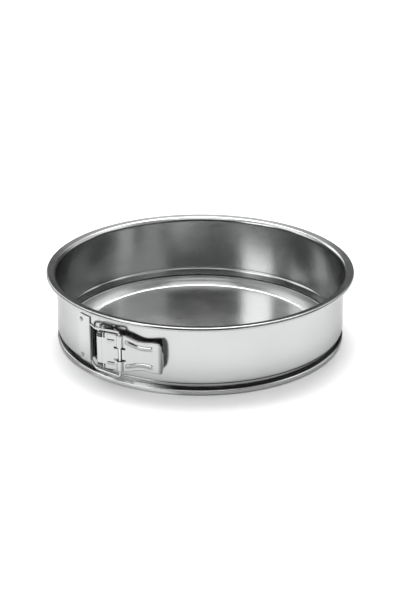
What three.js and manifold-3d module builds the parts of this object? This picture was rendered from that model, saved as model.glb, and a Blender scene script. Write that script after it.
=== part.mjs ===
// Springform cake pan: a loose pan base, a sheet-steel band whose two ends meet at the
// front left, and an over-centre draw latch that pulls the band ends together.
// Millimetres, +Z up, +Y to the back. The origin is the middle of the base, on the table.
import * as THREE from 'three';
import { mergeVertices } from 'three/addons/utils/BufferGeometryUtils.js';
import Module from 'manifold-3d';

const wasm = await Module();
wasm.setup();

// ---- Driving dimensions ------------------------------------------------------------

const SLIDE_GAP = 0.3;          // clearance left between pieces that touch on the real pan
const RING_SEGMENTS = 72;       // facets round every ring
const ROUND_SEGMENTS = 16;      // facets round every pin and rivet

const BAND_RADIUS = 130;        // inside of the wall: a 26 cm pan
const BAND_SHEET = 0.6;
const WALL_BOTTOM = 11.2;       // height where the wall turns in to the groove
const WALL_TOP = 61.4;          // height where the wall turns out to the lip
const LIP_RADIUS = 139.4;
const LIP_SLOPE = 8;            // degrees that the lip rises outwards
const LIP_FILLET = 3.4;
const ROLL_RADIUS = 1.8;        // rolled edge of the lip, at the middle of the sheet
const GROOVE_WAIST = 127.3;     // smallest radius of the band, over the edge of the base
const BEAD_RADIUS = 130.7;      // largest radius of the bead round the foot of the band

const BASE_SHEET = 0.8;
const BASE_RADIUS = 128.7;
const BASE_STEP = 108.5;        // edge of the flat middle of the base
const BASE_RIM_HEIGHT = 3.3;

// Angles round the pan are in degrees, counted from the front towards the left.
const LATCH_ANGLE = 23;         // direction that the face of the lever looks in
const SEAM_ANGLE = 40.9;        // where the two ends of the band meet
const TONGUE_END = 39.6;        // the left end reaches this far inside the right end

const PLATE_SHEET = 0.8;        // hook plate, bracket and lever are stamped from this
const PLATE_BOTTOM = 12;
const PLATE_TOP = 54;
const LATCH_HEIGHT = 34;        // middle of the latch

const HOOK_ANGLE = 43.4;        // the upright that holds the bail
const HOOK_EDGE = 45.9;
const HOOK_START = 53;
const HOOK_PLATE_TOP = 54.9;
const HOOK_HALF_HEIGHT = 13.6;
const HOOK_TOP = 133.9;

const BRACKET_START = 40.6;
const BRACKET_END = 34.4;

const RIVET_SHANK = 1.4;
const RIVET_HEAD = 2.2;
const RIVET_HEAD_DEPTH = 0.7;
const RIVETS = {
  hook: { angle: 51, low: 16, high: 49.6 },
  bracket: { angle: 38.3, low: 15.2, high: 51.2 },
};

// Latch drawing: x runs to the right along the lever, y is the distance out from the
// axis of the pan, both seen square to the face of the lever.
const FULCRUM = { x: -35, y: 133.4 };
const LEVER_PIVOT = { x: -15.6, y: 136 };
const LEVER_PLANE = 136;        // middle of the lever's sheet
const LEVER_RISE = 0.025;       // the lever climbs this much per millimetre towards its tail
const PIN_RADIUS = 1.5;
const PIN_HEAD = 2.3;
const BARREL_RADIUS = 3;
const BARREL_HALF_HEIGHT = 12.5;
const EAR_HEIGHT = 1.5;
const WIRE_RADIUS = 1.1;
const BAIL_CATCH = { radius: 133.1, angle: 44.6 };
const BAIL_TOP = { pivot: 53.4, knee: 51.3, leg: 50.9 };       // heights of the upper arm
const BAIL_BOTTOM = { pivot: 12.2, knee: 14, leg: 16.2 };      // heights of the lower arm

const STEEL = { color: 0xc9cbcd, metalness: 1, roughness: 0.28 };
const BRIGHT_STEEL = { color: 0xd6d8da, metalness: 1, roughness: 0.18 };

// ---- Small helpers -----------------------------------------------------------------

const radians = THREE.MathUtils.degToRad;

function solid(geometry) {
  const bare = geometry.clone();
  bare.deleteAttribute('normal');
  bare.deleteAttribute('uv');
  const merged = mergeVertices(bare, 1e-4);
  return new wasm.Manifold(new wasm.Mesh({
    numProp: 3,
    vertProperties: new Float32Array(merged.attributes.position.array),
    triVerts: new Uint32Array(merged.index.array),
  }));
}

function surface(manifold) {
  const mesh = manifold.getMesh();
  const geometry = new THREE.BufferGeometry();
  geometry.setAttribute('position', new THREE.BufferAttribute(mesh.vertProperties, 3));
  geometry.setIndex(new THREE.BufferAttribute(mesh.triVerts, 1));
  geometry.computeVertexNormals();
  return geometry;
}

function joined(...pieces) {
  return pieces.reduce((sum, piece) => sum.add(piece));
}

function cut(body, ...tools) {
  return tools.reduce((rest, tool) => rest.subtract(tool), body);
}

// Ring made by turning a closed outline of [radius, height] points round the pan's axis.
function ring(outline, segments = RING_SEGMENTS) {
  const points = [...outline, outline[0]].map(([r, z]) => new THREE.Vector2(r, z));
  const lathe = new THREE.LatheGeometry(points, segments);
  return solid(lathe.rotateX(Math.PI / 2));
}

function flatRing(inner, outer, low, high) {
  return ring([[inner, low], [outer, low], [outer, high], [inner, high]]);
}

// Points on an arc, from one angle to another in degrees.
function arc(x, y, radius, from, to, steps) {
  return Array.from({ length: steps + 1 }, (_, i) => {
    const angle = radians(from + (to - from) * i / steps);
    return [x + radius * Math.cos(angle), y + radius * Math.sin(angle)];
  });
}

// Closed outline of a sheet of even thickness that follows a path of [x, y] points.
function sheetOutline(path, thickness) {
  const side = (sign) => path.map((point, i) => {
    const before = path[Math.max(i - 1, 0)];
    const after = path[Math.min(i + 1, path.length - 1)];
    const [dx, dy] = [after[0] - before[0], after[1] - before[1]];
    const offset = sign * thickness / 2 / Math.hypot(dx, dy);
    return [point[0] - dy * offset, point[1] + dx * offset];
  });
  return [...side(-1), ...side(1).reverse()];
}

// Prism over a closed outline of [x, y] points, between two heights.
function prism(outline, low, high) {
  const shape = new THREE.Shape(outline.map(([x, y]) => new THREE.Vector2(x, y)));
  const block = new THREE.ExtrudeGeometry(shape, { depth: high - low, bevelEnabled: false });
  return solid(block.translate(0, 0, low));
}

// Part of the pan between two angles, as a wedge from the axis.
function sector(from, to, low, high) {
  const reach = 170;
  const corner = (angle) => [
    -reach * Math.sin(radians(angle)),
    -reach * Math.cos(radians(angle)),
  ];
  return prism([[0, 0], corner(from), corner(to)], low, high);
}

// Moves a solid drawn in the latch drawing to its place round the pan.
function facing(piece, angle) {
  return piece.rotate([0, 0, -angle]);
}

// Prism over an outline of [x, height] points, running straight out from the pan.
function outwardPrism(outline, near, far) {
  const shape = new THREE.Shape(outline.map(([x, z]) => new THREE.Vector2(x, z)));
  const block = new THREE.ExtrudeGeometry(shape, { depth: far - near, bevelEnabled: false });
  return solid(block.rotateX(Math.PI / 2).translate(0, -near, 0));
}

function upright(radius, low, high, place) {
  const post = new THREE.CylinderGeometry(radius, radius, high - low, ROUND_SEGMENTS);
  post.rotateX(Math.PI / 2).translate(place.x, -place.y, (low + high) / 2);
  return solid(post);
}

// Rivet shank or head: a round bar that runs straight out from the pan.
function outwardPost(radius, near, far, angle, height) {
  const post = new THREE.CylinderGeometry(radius, radius, far - near, ROUND_SEGMENTS);
  post.translate(0, -(near + far) / 2, height);
  return facing(solid(post), angle);
}

function rivetHoles({ angle, low, high }) {
  const radius = RIVET_SHANK + SLIDE_GAP;
  return [low, high].map((height) => outwardPost(radius, 120, 140, angle, height));
}

// ---- Pan base ----------------------------------------------------------------------

// Flat middle that stands on the table, a dished border, and a rim for the band's groove.
function panBase() {
  const half = BASE_SHEET / 2;
  const border = BASE_STEP + 2.6;
  const top = [
    [BASE_STEP - 0.6, BASE_SHEET],
    [BASE_STEP + 0.4, BASE_SHEET + 0.25],
    [border, 2.3],
    [border + 7, BASE_RIM_HEIGHT - 0.35],
    [BASE_RADIUS - 4, BASE_RIM_HEIGHT + half],
    [BASE_RADIUS, BASE_RIM_HEIGHT + half],
  ];
  const underside = [
    [BASE_RADIUS, BASE_RIM_HEIGHT - half],
    [BASE_RADIUS - 4, BASE_RIM_HEIGHT - half],
    [border + 7, BASE_RIM_HEIGHT - 0.35 - BASE_SHEET],
    [border + 0.2, 1.4],
    [BASE_STEP, 0],
  ];
  const profile = [[0, BASE_SHEET], ...top, ...underside, [0, 0]];
  const points = profile.reverse().map(([r, z]) => new THREE.Vector2(r, z));
  const lathe = new THREE.LatheGeometry(points, RING_SEGMENTS);
  return solid(lathe.rotateX(Math.PI / 2));
}

// ---- Band --------------------------------------------------------------------------

// Middle of the band's sheet, from the rolled edge of the lip down to the foot.
function bandPath() {
  const wall = BAND_RADIUS + BAND_SHEET / 2;
  const slope = radians(LIP_SLOPE);
  const filletCentre = [wall + LIP_FILLET, WALL_TOP];
  const fillet = arc(...filletCentre, LIP_FILLET, 90 + LIP_SLOPE, 180, 4);
  const rollX = LIP_RADIUS - BAND_SHEET / 2 - ROLL_RADIUS;
  const lipRise = (rollX - fillet[0][0]) * Math.tan(slope);
  const rollZ = fillet[0][1] + lipRise - ROLL_RADIUS;
  const roll = arc(rollX, rollZ, ROLL_RADIUS, -130, 90 + LIP_SLOPE, 8);
  const beadBulge = BEAD_RADIUS - BAND_SHEET / 2;
  return [
    ...roll,
    ...fillet,
    [wall, WALL_BOTTOM],
    [GROOVE_WAIST + 0.9, WALL_BOTTOM - 2.7],
    [GROOVE_WAIST, WALL_BOTTOM - 4],
    [GROOVE_WAIST + 0.3, WALL_BOTTOM - 5.3],
    [beadBulge - 1.5, WALL_BOTTOM - 6.6],
    [beadBulge - 0.3, WALL_BOTTOM - 7.5],
    [beadBulge, WALL_BOTTOM - 8.6],
    [beadBulge - 0.2, WALL_BOTTOM - 9.7],
    [beadBulge - 0.8, WALL_BOTTOM - 10.5],
  ];
}

// Everything on one side of the upright plane through the seam and the pan's axis.
function halfSpace(side) {
  const size = 400;
  const block = new THREE.BoxGeometry(size, size, size);
  block.translate(side * (size / 2 + SLIDE_GAP / 2), 0, 0);
  return facing(solid(block), SEAM_ANGLE);
}

function bandRight() {
  const band = ring(sheetOutline(bandPath(), BAND_SHEET));
  return cut(band.intersect(halfSpace(1)), ...rivetHoles(RIVETS.bracket));
}

// The left end carries a tongue that lies inside the right end.
function bandLeft() {
  const band = ring(sheetOutline(bandPath(), BAND_SHEET));
  const outer = BAND_RADIUS - SLIDE_GAP;
  const inner = outer - BAND_SHEET;
  const low = WALL_BOTTOM + 2;
  const high = WALL_TOP - 2;
  const tongue = flatRing(inner, outer, low, high)
    .intersect(sector(TONGUE_END, SEAM_ANGLE + 3, low - 1, high + 1));
  const root = flatRing(outer - BAND_SHEET / 2, BAND_RADIUS + BAND_SHEET / 2, low, high)
    .intersect(sector(SEAM_ANGLE + 1, SEAM_ANGLE + 3, low - 1, high + 1));
  const left = joined(band.intersect(halfSpace(-1)), tongue, root);
  return cut(left, ...rivetHoles(RIVETS.hook));
}

// ---- Pieces riveted to the band ----------------------------------------------------

function plateRing() {
  const inner = BAND_RADIUS + BAND_SHEET + SLIDE_GAP;
  return flatRing(inner, inner + PLATE_SHEET, PLATE_BOTTOM - 5, PLATE_TOP + 5);
}

// Distance along the plate from its middle to an angle round the pan.
function alongPlate(middle, angle) {
  return (BAND_RADIUS + 1) * Math.sin(radians(middle - angle));
}

// Hook plate on the left end of the band: its middle reaches on and turns out as a hook.
function hookPlate() {
  const middle = (HOOK_START + HOOK_EDGE) / 2;
  const left = alongPlate(middle, HOOK_START);
  const edge = alongPlate(middle, HOOK_EDGE);
  const reach = alongPlate(middle, HOOK_ANGLE);
  const low = LATCH_HEIGHT - 0.5 - HOOK_HALF_HEIGHT;
  const high = LATCH_HEIGHT - 0.5 + HOOK_HALF_HEIGHT;
  const corner = 4;
  const outline = [
    [left, PLATE_BOTTOM + corner],
    [left + corner, PLATE_BOTTOM],
    [edge, PLATE_BOTTOM],
    [edge, low],
    [reach, low],
    [reach, high],
    [edge, high],
    [edge, HOOK_PLATE_TOP],
    [left + corner, HOOK_PLATE_TOP],
    [left, HOOK_PLATE_TOP - corner],
  ];
  const plate = plateRing().intersect(facing(outwardPrism(outline, 110, 150), middle));
  const inner = BAND_RADIUS + BAND_SHEET + SLIDE_GAP;
  const half = PLATE_SHEET / 2;
  const wall = [[-half, -inner], [-half, -HOOK_TOP], [half, -HOOK_TOP], [half, -inner]];
  const catchWall = facing(prism(wall, low, high), HOOK_ANGLE);
  return cut(joined(plate, catchWall), ...rivetHoles(RIVETS.hook));
}

// One ear of the bracket: a tab that stands out from the band round the fulcrum pin.
function bracketEar(low, high) {
  const foot = (x) => -Math.sqrt((BAND_RADIUS + 1.35) ** 2 - x ** 2);
  const left = FULCRUM.x - BARREL_RADIUS;
  const right = FULCRUM.x + BARREL_RADIUS;
  const tip = arc(FULCRUM.x, -FULCRUM.y, BARREL_RADIUS, 0, -180, 8);
  const outline = [[left, foot(left)], [right, foot(right)], ...tip];
  return prism(outline, low, high);
}

// Fulcrum bracket on the right end of the band: a curved plate with two pierced ears.
function fulcrumBracket() {
  const middle = (BRACKET_START + BRACKET_END) / 2;
  const half = alongPlate(middle, BRACKET_END);
  const [low, high] = [PLATE_BOTTOM, PLATE_TOP];
  const corner = { width: 5, height: 3 };
  const outline = [
    [-half, low + corner.height],
    [corner.width - half, low],
    [half, low],
    [half, high - 1],
    [corner.width - half, high],
    [-half, high - corner.height],
  ];
  const plate = plateRing().intersect(facing(outwardPrism(outline, 110, 150), middle));
  const start = LATCH_HEIGHT + BARREL_HALF_HEIGHT + SLIDE_GAP;
  const upper = bracketEar(start, start + EAR_HEIGHT);
  const mirrored = 2 * LATCH_HEIGHT - start;
  const lower = bracketEar(mirrored - EAR_HEIGHT, mirrored);
  const bore = upright(PIN_RADIUS + SLIDE_GAP, low, high, FULCRUM);
  const ears = facing(cut(joined(upper, lower), bore), LATCH_ANGLE);
  return cut(joined(plate, ears), ...rivetHoles(RIVETS.bracket));
}

// Rivet through a plate and the band, with a head on each side.
function rivet(angle, height) {
  const plateFace = BAND_RADIUS + BAND_SHEET + SLIDE_GAP + PLATE_SHEET;
  const outside = plateFace + SLIDE_GAP / 2;
  const inside = BAND_RADIUS - SLIDE_GAP;
  const depth = RIVET_HEAD_DEPTH;
  return joined(
    outwardPost(RIVET_SHANK, inside - depth / 2, outside + depth / 2, angle, height),
    outwardPost(RIVET_HEAD, outside, outside + depth, angle, height),
    outwardPost(RIVET_HEAD, inside - depth, inside, angle, height),
  );
}

// ---- Latch -------------------------------------------------------------------------

function fulcrumPin() {
  const ear = BARREL_HALF_HEIGHT + SLIDE_GAP + EAR_HEIGHT + SLIDE_GAP;
  const end = ear + 1;
  const head = (from, to) => upright(PIN_HEAD, LATCH_HEIGHT + from, LATCH_HEIGHT + to, FULCRUM);
  const shank = upright(PIN_RADIUS, LATCH_HEIGHT - end, LATCH_HEIGHT + end, FULCRUM);
  return facing(joined(shank, head(ear, end), head(-end, -ear)), LATCH_ANGLE);
}

// Upper half of the lever's outline, as [x, height above its middle] points.
function leverEdge() {
  const waist = new THREE.SplineCurve([
    new THREE.Vector2(LEVER_PIVOT.x + 4, 16.4),
    new THREE.Vector2(-6, 15),
    new THREE.Vector2(1, 13.4),
    new THREE.Vector2(8.5, 12.9),
    new THREE.Vector2(16, 13.6),
    new THREE.Vector2(21.3, 13.7),
    new THREE.Vector2(25.3, 11),
    new THREE.Vector2(27.4, 5.5),
    new THREE.Vector2(28, 0),
  ]);
  return [
    [FULCRUM.x - 4, BARREL_HALF_HEIGHT],
    [FULCRUM.x + 3.6, BARREL_HALF_HEIGHT],
    [FULCRUM.x + 3.6, 16.3],
    [LEVER_PIVOT.x - 3, 16.4],
    ...waist.getPoints(24).map((point) => [point.x, point.y]),
  ];
}

// Lever seen from above: a barrel round the pin, a flat run, and a tail turned outwards.
function leverPlan() {
  const bend = 10;
  const start = 19;
  const turned = 40;
  const tail = arc(start, LEVER_PLANE + bend, bend, -90, -90 + turned, 6);
  const path = [[FULCRUM.x, LEVER_PLANE], ...tail];
  return sheetOutline(path, PLATE_SHEET).map(([x, y]) => [x, -y]).reverse();
}

// Half tube that carries the bail's wire over (side 1) or under (side -1) the sheet.
function knuckle(side, low, high) {
  const bore = WIRE_RADIUS + SLIDE_GAP;
  const tube = upright(bore + PLATE_SHEET, low, high, LEVER_PIVOT);
  const channel = upright(bore, low - 1, high + 1, LEVER_PIVOT);
  const reach = 6;
  const clear = new THREE.BoxGeometry(2 * bore, reach, high - low + 2);
  clear.translate(LEVER_PIVOT.x, -LEVER_PIVOT.y + side * reach / 2, (low + high) / 2);
  const face = new THREE.BoxGeometry(2 * reach, reach, high - low);
  const inset = side * (reach / 2 - PLATE_SHEET / 2);
  face.translate(LEVER_PIVOT.x, -LEVER_PIVOT.y - inset, (low + high) / 2);
  return { add: tube.intersect(solid(face)), remove: joined(channel, solid(clear)) };
}

// Edge folded in towards the band, along the top (side 1) or the bottom (side -1).
function leverFlange(side) {
  const from = FULCRUM.x + 5.2;
  const to = LEVER_PIVOT.x - 2.9;
  const depth = 5.4;
  const edge = 16.3;
  const block = new THREE.BoxGeometry(to - from, depth, PLATE_SHEET);
  const middle = LEVER_PLANE + PLATE_SHEET / 2 - depth / 2;
  block.translate((from + to) / 2, -middle, LATCH_HEIGHT + side * (edge - PLATE_SHEET / 2));
  return solid(block);
}

// Slot through the lever beside the wire, above or below the middle tongue.
function leverSlit(height) {
  const slit = new THREE.BoxGeometry(10.8, 12, 1);
  slit.translate(LEVER_PIVOT.x, -LEVER_PLANE, height);
  return solid(slit);
}

function lever() {
  const edge = leverEdge();
  const mirrored = edge.slice(0, -1).reverse().map(([x, z]) => [x, -z]);
  const climb = (x) => Math.max(0, x - LEVER_PIVOT.x) * LEVER_RISE;
  const outline = [...edge, ...mirrored].map(([x, z]) => [x, LATCH_HEIGHT + climb(x) + z]);
  const low = LATCH_HEIGHT - 20;
  const high = LATCH_HEIGHT + 20;
  const barrel = upright(BARREL_RADIUS, low, high, FULCRUM);
  const silhouette = outwardPrism(outline, 120, 150);
  const blank = joined(prism(leverPlan(), low, high), barrel).intersect(silhouette);
  const [slitLow, slitHigh] = [LATCH_HEIGHT - 6.3, LATCH_HEIGHT + 4.6];
  const edgeHeight = 16.4;
  const knuckles = [
    knuckle(1, slitHigh, LATCH_HEIGHT + edgeHeight),
    knuckle(-1, slitLow, slitHigh),
    knuckle(1, LATCH_HEIGHT - edgeHeight, slitLow),
  ];
  const bored = cut(blank, upright(PIN_RADIUS + SLIDE_GAP, low, high, FULCRUM));
  const formed = knuckles.reduce((sum, { add, remove }) => sum.add(add).subtract(remove), bored);
  const flanged = joined(formed, leverFlange(1), leverFlange(-1));
  return facing(cut(flanged, leverSlit(slitLow), leverSlit(slitHigh)), LATCH_ANGLE);
}

// Corner of the wire, rounded between two straight runs.
function roundedRoute(corners, radius) {
  const route = new THREE.CurvePath();
  let from = corners[0];
  corners.slice(1, -1).forEach((corner, i) => {
    const next = corners[i + 2];
    const enter = corner.clone().add(from.clone().sub(corner).setLength(radius));
    const leave = corner.clone().add(next.clone().sub(corner).setLength(radius));
    route.add(new THREE.LineCurve3(from, enter));
    route.add(new THREE.QuadraticBezierCurve3(enter, corner, leave));
    from = leave;
  });
  route.add(new THREE.LineCurve3(from, corners.at(-1)));
  return route;
}

// Wire bail: one leg in the lever's knuckles, two arms bowed round the bracket, and one
// leg behind the hook. Its ends butt together inside the lower knuckle.
function bail() {
  const turn = radians(BAIL_CATCH.angle - LATCH_ANGLE);
  const legX = -BAIL_CATCH.radius * Math.sin(turn);
  const legY = BAIL_CATCH.radius * Math.cos(turn);
  const knee = { x: FULCRUM.x - 4.6, y: FULCRUM.y - 0.9 };
  const butt = LATCH_HEIGHT - 10;
  const at = (place, z) => new THREE.Vector3(place.x, -place.y, z);
  const leg = { x: legX, y: legY };
  const corners = [
    at(LEVER_PIVOT, butt + SLIDE_GAP),
    at(LEVER_PIVOT, BAIL_TOP.pivot),
    at(knee, BAIL_TOP.knee),
    at(leg, BAIL_TOP.leg),
    at(leg, BAIL_BOTTOM.leg),
    at(knee, BAIL_BOTTOM.knee),
    at(LEVER_PIVOT, BAIL_BOTTOM.pivot),
    at(LEVER_PIVOT, butt - SLIDE_GAP),
  ];
  const section = new THREE.Shape();
  section.absarc(0, 0, WIRE_RADIUS, 0, 2 * Math.PI);
  const wire = new THREE.ExtrudeGeometry(section, {
    steps: 90,
    curveSegments: 5,
    bevelEnabled: false,
    extrudePath: roundedRoute(corners, 3),
  });
  return facing(solid(wire), LATCH_ANGLE);
}

// ---- Assembly ----------------------------------------------------------------------

const pan = new THREE.Group();

function place(name, body, look) {
  const mesh = new THREE.Mesh(surface(body), new THREE.MeshStandardMaterial(look));
  mesh.name = name;
  pan.add(mesh);
}

place('pan_base', panBase(), STEEL);
place('band_right', bandRight(), STEEL);
place('band_left', bandLeft(), STEEL);
place('hook_plate', hookPlate(), STEEL);
place('fulcrum_bracket', fulcrumBracket(), STEEL);
for (const [owner, { angle, low, high }] of Object.entries(RIVETS)) {
  place(`${owner}_rivet_lower`, rivet(angle, low), BRIGHT_STEEL);
  place(`${owner}_rivet_upper`, rivet(angle, high), BRIGHT_STEEL);
}
place('fulcrum_pin', fulcrumPin(), BRIGHT_STEEL);
place('lever', lever(), STEEL);
place('bail', bail(), BRIGHT_STEEL);

export default pan;
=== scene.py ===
"""The looks of the springform pan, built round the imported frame.

Metres, +Z up, -Y to the front. Drawings are in millimetres, and MM turns them into metres.
Angles round the pan are in degrees, counted from the front towards the left.
"""
import math

import bmesh
import bpy
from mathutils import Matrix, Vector


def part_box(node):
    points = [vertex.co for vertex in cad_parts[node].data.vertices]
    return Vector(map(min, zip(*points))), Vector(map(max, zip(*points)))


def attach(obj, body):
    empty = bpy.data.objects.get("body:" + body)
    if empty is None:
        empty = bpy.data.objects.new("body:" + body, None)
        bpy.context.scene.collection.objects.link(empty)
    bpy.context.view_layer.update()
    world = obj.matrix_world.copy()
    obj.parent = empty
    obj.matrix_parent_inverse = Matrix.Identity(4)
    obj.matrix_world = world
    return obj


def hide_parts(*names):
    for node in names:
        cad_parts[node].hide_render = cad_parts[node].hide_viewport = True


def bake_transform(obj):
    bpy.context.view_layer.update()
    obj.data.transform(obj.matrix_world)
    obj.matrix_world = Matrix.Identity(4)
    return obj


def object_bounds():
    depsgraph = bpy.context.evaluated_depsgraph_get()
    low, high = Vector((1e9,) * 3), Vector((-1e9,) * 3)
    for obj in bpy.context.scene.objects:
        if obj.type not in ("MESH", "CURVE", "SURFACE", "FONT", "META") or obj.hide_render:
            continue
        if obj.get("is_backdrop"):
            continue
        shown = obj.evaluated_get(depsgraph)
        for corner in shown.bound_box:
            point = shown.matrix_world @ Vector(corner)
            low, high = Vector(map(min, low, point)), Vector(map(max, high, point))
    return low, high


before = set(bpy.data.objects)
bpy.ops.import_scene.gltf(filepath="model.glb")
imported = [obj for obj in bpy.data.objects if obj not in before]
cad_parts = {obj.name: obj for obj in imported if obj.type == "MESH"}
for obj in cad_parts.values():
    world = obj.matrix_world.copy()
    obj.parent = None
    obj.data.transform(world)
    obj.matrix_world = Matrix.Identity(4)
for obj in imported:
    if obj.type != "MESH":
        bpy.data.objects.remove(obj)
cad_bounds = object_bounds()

MM = 0.001
SHARP_ANGLE = 35                # edges that turn by more than this are drawn crisp

# ---- Sizes, in millimetres ---------------------------------------------------------

GAP = 0.3                       # clearance between pieces that touch

BAND_RADIUS = 130
BAND_SHEET = 0.6
WALL_BOTTOM = 11.2
WALL_TOP = 61.4
LIP_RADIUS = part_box("band_left")[1][1] / MM
LIP_SLOPE = 8
LIP_FILLET = 3.4                # how far the turn from wall to lip reaches outwards
LIP_TURN_HEIGHT = 4.4           # and how high it is: it is taller than it is wide
GROOVE_WAIST = 127.05
BEAD_RADIUS = 130.7

BASE_SHEET = 0.8
BASE_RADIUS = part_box("pan_base")[1][0] / MM
BASE_STEP = 108.5
BASE_RIM_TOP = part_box("pan_base")[1][2] / MM

LATCH_ANGLE = 23
SEAM_ANGLE = 40.9
TONGUE_END = 39.6
HIGHLIGHT_ANGLE = 27                # under the latch, round this angle, the groove's painted shade is left off and a painted highlight put on
HIGHLIGHT_HALF_ANGLES = (14, 8)     # out to the first, and wholly within the second
FLEX_HALF_ANGLE = 60            # half of the stretch at the back, which is a piece of its own

PLATE_SHEET = 0.8
PLATE_RADIUS = BAND_RADIUS + BAND_SHEET + GAP + PLATE_SHEET / 2
PLATE_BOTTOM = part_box("hook_plate")[0][2] / MM
HOOK_PLATE_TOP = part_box("hook_plate")[1][2] / MM
BRACKET_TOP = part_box("fulcrum_bracket")[1][2] / MM
LATCH_HEIGHT = 34

HOOK_ANGLE = 43.4
HOOK_EDGE = 45.9
HOOK_START = 53
HOOK_HEIGHT = LATCH_HEIGHT - 0.5
HOOK_HALF_HEIGHT = 13.6
HOOK_TOP = 133.9

BRACKET_START = 40.6
BRACKET_END = 34.4

RIVET_SHANK = 1.4
RIVET_HEAD = 2.2
RIVET_HEAD_HEIGHT = 1.25
RIVETS = {
    "hook_rivet_lower": (51, 16, "ring_left"),
    "hook_rivet_upper": (51, 49.6, "ring_left"),
    "bracket_rivet_lower": (38.3, 15.2, "ring_right"),
    "bracket_rivet_upper": (38.3, 51.2, "ring_right"),
}

# Latch drawing: x to the right along the lever, y out from the pan's axis.
FULCRUM = (-35, 133.4)
LEVER_PIVOT = (-15.6, 136)
LEVER_PLANE = 136
LEVER_RISE = 0.025
PIN_RADIUS = 1.5
PIN_HEAD = 2.3
BARREL_RADIUS = 3
BARREL_HALF_HEIGHT = 12
EAR_START = BARREL_HALF_HEIGHT + 0.5 + GAP
EAR_HEIGHT = 1.5
WIRE_RADIUS = 1.1
BAIL_CATCH_RADIUS = 133.1
BAIL_CATCH_ANGLE = 44.6
BAIL_TOP = (53.4, 51.3, 50.9)       # heights of the upper arm at pivot, knee and leg
BAIL_BOTTOM = (12.2, 14, 16.2)      # heights of the lower arm at pivot, knee and leg

LEVER_LEFT = FULCRUM[0] + 3.6       # where the lever's full height starts, beside the barrel
LEVER_BEND = 0.9                    # radius of the turned-in edges
RELIEF_SLOT = (-30.6, -29.2)        # gap in those edges, beside the barrel
LEVER_STEP = 0.3                    # length of the cells that the lever is drawn with
TAIL_START = 19
TAIL_END = 26
TAIL_RADIUS = 9
TAIL_CORNER = 5.6                   # how far the tail's corners are pulled back
SLIT_HEIGHTS = (-6.3, 4.6)
SLIT_HALF_LENGTH = 5.4
SLIT_WIDTH = 1.9
KNUCKLE_HEIGHT = 2.0
KNUCKLE_HALF_WIDTH = 2.35
STRAP_DEPTH = 2.7                   # the strap between the slits is pushed in behind the wire
STRAP_HALF_WIDTH = 2.5
RIB_HEIGHT = 0.85
RIB_WIDTH = 1.35
RIB_INSET = 5.2                     # from the lever's edge
RIB_ENDS = (-10.8, 15.4)
RIB_RUN_OUT = 1.6                   # length of its smooth ends
SHORT_RIB_HEIGHT = 0.5
SHORT_RIB_WIDTH = 1.0
SHORT_RIB_LEVEL = 10.4              # above and below the lever's middle
SHORT_RIB_ENDS = (-28.2, -19.4)
CREASE_WIDTH = 0.5

# ---- Finish ------------------------------------------------------------------------

HAZE_SCALE = 28.0               # scales of noise, per metre
SPECK_SCALE = 420.0
HAZE_SHADE = 0.93               # colour of the haziest patches, as a share of the steel's
GRAIN_ROUGHNESS = 0.02          # how much the grain adds to the roughness, or takes from it
GRAIN_DEPTH = 0.000002          # in metres, as every bump is
# Painted shade: the crevice of the groove round the outside is painted near black.
GROOVE_SHADE_COLOR = (0.02, 0.02, 0.02, 1)
GROOVE_SHADE_EDGE = 0.5              # its soft edge, in millimetres

# ---- Light -------------------------------------------------------------------------

CEILING_FRONT = 0.2
CEILING_BACK = 1.35
CEILING_EDGE = (27, 36)         # elevations where it starts and where it is full
ROOM_FRONT = 0.03
ROOM_BACK = 0.12

# Azimuth (counted as on the pan) and elevation, width and height in metres, and watts.
SOFTBOX_DISTANCE = 3.0
SOFTBOXES = {
    "back_top_box": (180, 66, 2.0, 2.0, 86),
    "front_top_box": (0, 58, 2.2, 1.2, 13),
    "front_left_box": (51, 27, 1.3, 1.0, 12.5),
    "back_left_box": (146, 27, 1.6, 1.0, 11),
    "left_top_box": (90, 42, 1.6, 1.2, 9),
    "right_top_box": (-90, 42, 1.6, 1.2, 9),
    "left_low_box": (98, 22, 1.4, 0.8, 6),
    "right_low_box": (-116, 22, 1.8, 0.8, 6),
    "front_right_box": (-53, 26, 2.4, 1.0, 3.9),
}


# ---- Small helpers -----------------------------------------------------------------

def clamp(value):
    """The value, kept between 0 and 1."""
    return max(0.0, min(1.0, value))


def smooth(value):
    """0 below 0, 1 above 1, and a smooth rise between them."""
    t = clamp(value)
    return t * t * (3 - 2 * t)


def spread(start, stop, steps):
    """steps + 1 even values from start to stop."""
    return [start + (stop - start) * i / steps for i in range(steps + 1)]


def dome(radius, height):
    """(radius, height) points of a low dome, from its rim to its top."""
    turns = [math.radians(angle) for angle in spread(0, 90, 8)]
    return [(radius * math.cos(turn), height * math.sin(turn)) for turn in turns]


def arc(x, y, radius, start, stop, steps):
    """Points on an arc, from one angle to another in degrees."""
    turns = [math.radians(angle) for angle in spread(start, stop, steps)]
    return [(x + radius * math.cos(turn), y + radius * math.sin(turn)) for turn in turns]


def rounded(corners, steps):
    """Path through (point..., radius) corners, each rounded off by its own radius."""
    points = [Vector(corner[:-1]) for corner in corners]
    path = [points[0]]
    for before, here, after, corner in zip(points, points[1:], points[2:], corners[1:]):
        enter = here + (before - here).normalized() * corner[-1]
        leave = here + (after - here).normalized() * corner[-1]
        for t in spread(0, 1, steps):
            path.append(enter * (1 - t) ** 2 + here * 2 * t * (1 - t) + leave * t * t)
    path.append(points[-1])
    return [tuple(point) for point in path]


def around(radius, angle, height):
    """Point in metres, from a radius, an angle round the pan and a height."""
    turn = math.radians(angle)
    return Vector((-radius * math.sin(turn), -radius * math.cos(turn), height)) * MM


def latch_right():
    """Direction of x in the latch drawing."""
    turn = math.radians(LATCH_ANGLE)
    return Vector((math.cos(turn), -math.sin(turn), 0))


def latch_out():
    """Direction of y in the latch drawing."""
    return around(1, LATCH_ANGLE, 0) / MM


def latch_point(x, y, height):
    """Point in metres, from a place in the latch drawing and a height."""
    return (latch_right() * x + latch_out() * y + Vector((0, 0, height))) * MM


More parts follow.
